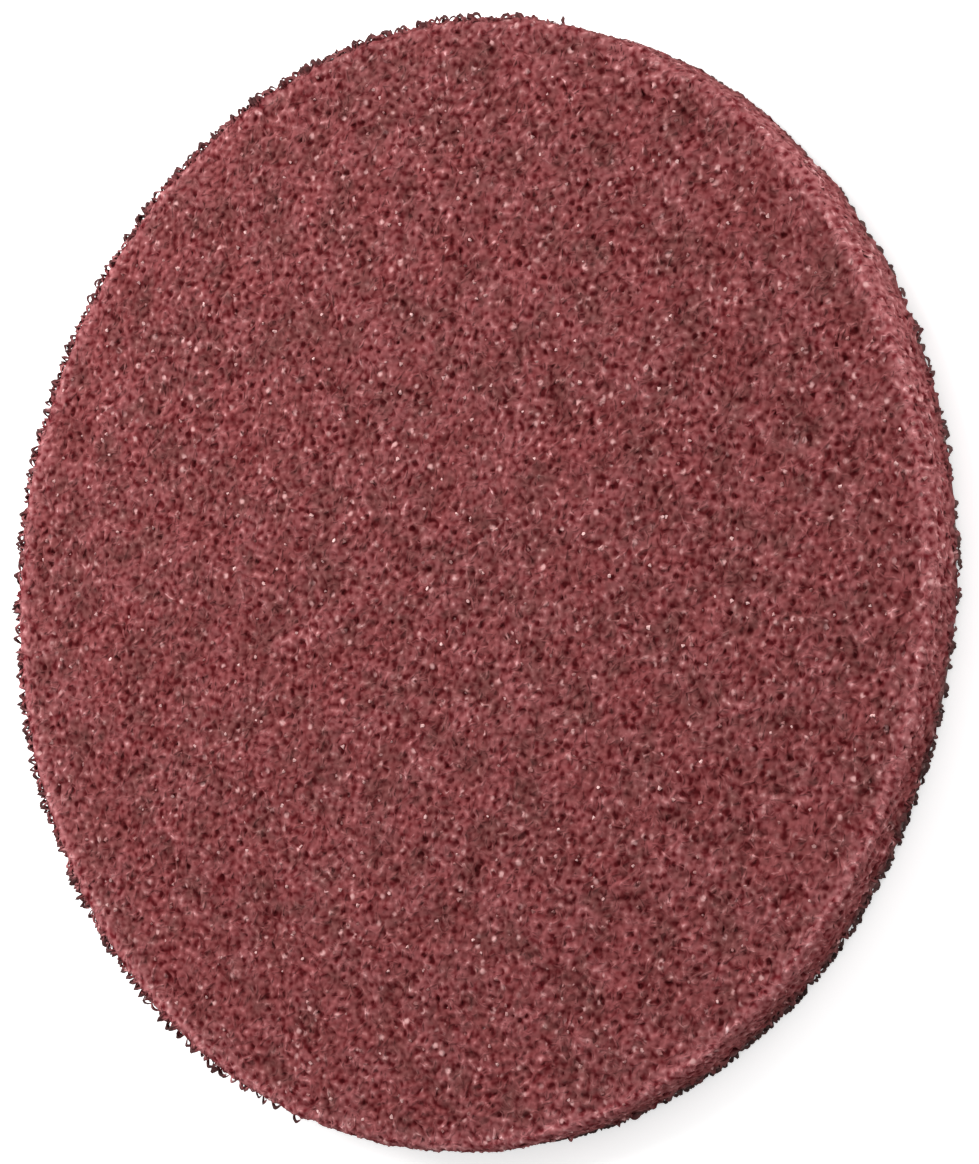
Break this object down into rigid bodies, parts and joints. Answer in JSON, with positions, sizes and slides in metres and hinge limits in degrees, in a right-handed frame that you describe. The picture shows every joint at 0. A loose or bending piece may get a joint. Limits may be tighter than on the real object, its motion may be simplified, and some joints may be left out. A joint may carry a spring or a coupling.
{
  "type": "surface conditioning disc",
  "caption": "Round surface conditioning disc: a maroon nonwoven abrasive web on a loop fabric backing, for a hook-faced sander pad.",
  "frame": {"origin": "centre of the loop backing's flat underside", "axes": "+Z is the disc's axis and points out of the working face; the disc is round, so +X is any radius"},
  "size_m": [0.1252, 0.1254, 0.0065],
  "materials": {
    "maroon_web": "matt, porous nylon fibre web filled with resin and abrasive grain, with small glints",
    "loop_fabric": "matt grey-brown brushed loop fabric"
  },
  "bodies": {
    "root": {"abrasive_web": "maroon_web", "loop_backing": "loop_fabric"}
  },
  "joints": []
}
